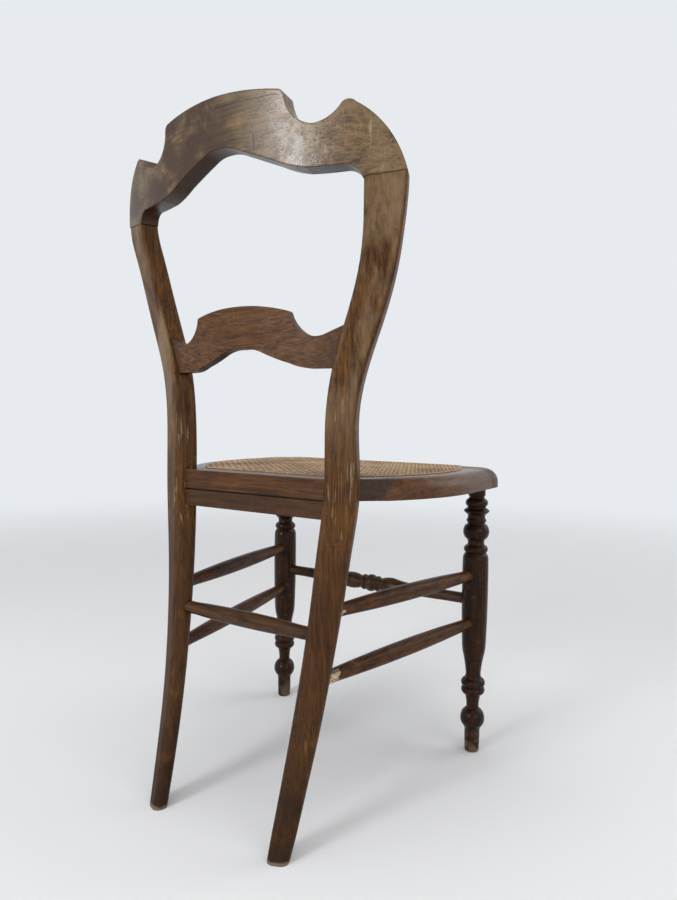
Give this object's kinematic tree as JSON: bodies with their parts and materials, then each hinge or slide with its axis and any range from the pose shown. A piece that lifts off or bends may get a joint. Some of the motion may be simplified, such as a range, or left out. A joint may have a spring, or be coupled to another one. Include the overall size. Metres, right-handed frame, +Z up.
{
  "type": "dining chair",
  "caption": "Balloon back wooden dining chair with a bowed crest rail and cross rail, a cane seat with rounded sides, turned front legs, swept rear legs and turned stretchers",
  "frame": {"origin": "on the floor under the middle of the chair's bounding box", "axes": "+Z up, the chair faces -Y, +X is the sitter's left"},
  "size_m": [0.457, 0.4336, 0.9075],
  "materials": {
    "back_wood": "mid-brown stained wood, greyish and worn on the rear faces",
    "seat_frame_wood": "reddish-brown varnished wood with dark grime in the joints",
    "turned_leg_wood": "dark glossy varnished turned wood",
    "stretcher_wood": "dark varnished wood",
    "dowel_wood": "plain beech",
    "cane": "golden-tan woven cane"
  },
  "bodies": {
    "root": {"rear_leg_left": "back_wood", "rear_leg_right": "back_wood", "crest_rail": "back_wood", "crest_dowels": "dowel_wood", "back_splat": "back_wood", "lower_back_rail": "seat_frame_wood", "seat_rear_rail": "seat_frame_wood", "seat_side_rail_left": "seat_frame_wood", "seat_side_rail_right": "seat_frame_wood", "seat_front_rail": "seat_frame_wood", "seat_frame_dowels": "dowel_wood", "front_leg_left": "turned_leg_wood", "front_leg_right": "turned_leg_wood", "side_stretcher_upper_left": "stretcher_wood", "side_stretcher_upper_right": "stretcher_wood", "side_stretcher_lower_left": "stretcher_wood", "side_stretcher_lower_right": "stretcher_wood", "rear_stretcher": "stretcher_wood", "front_stretcher": "stretcher_wood", "cane_seat": "cane"}
  },
  "joints": []
}
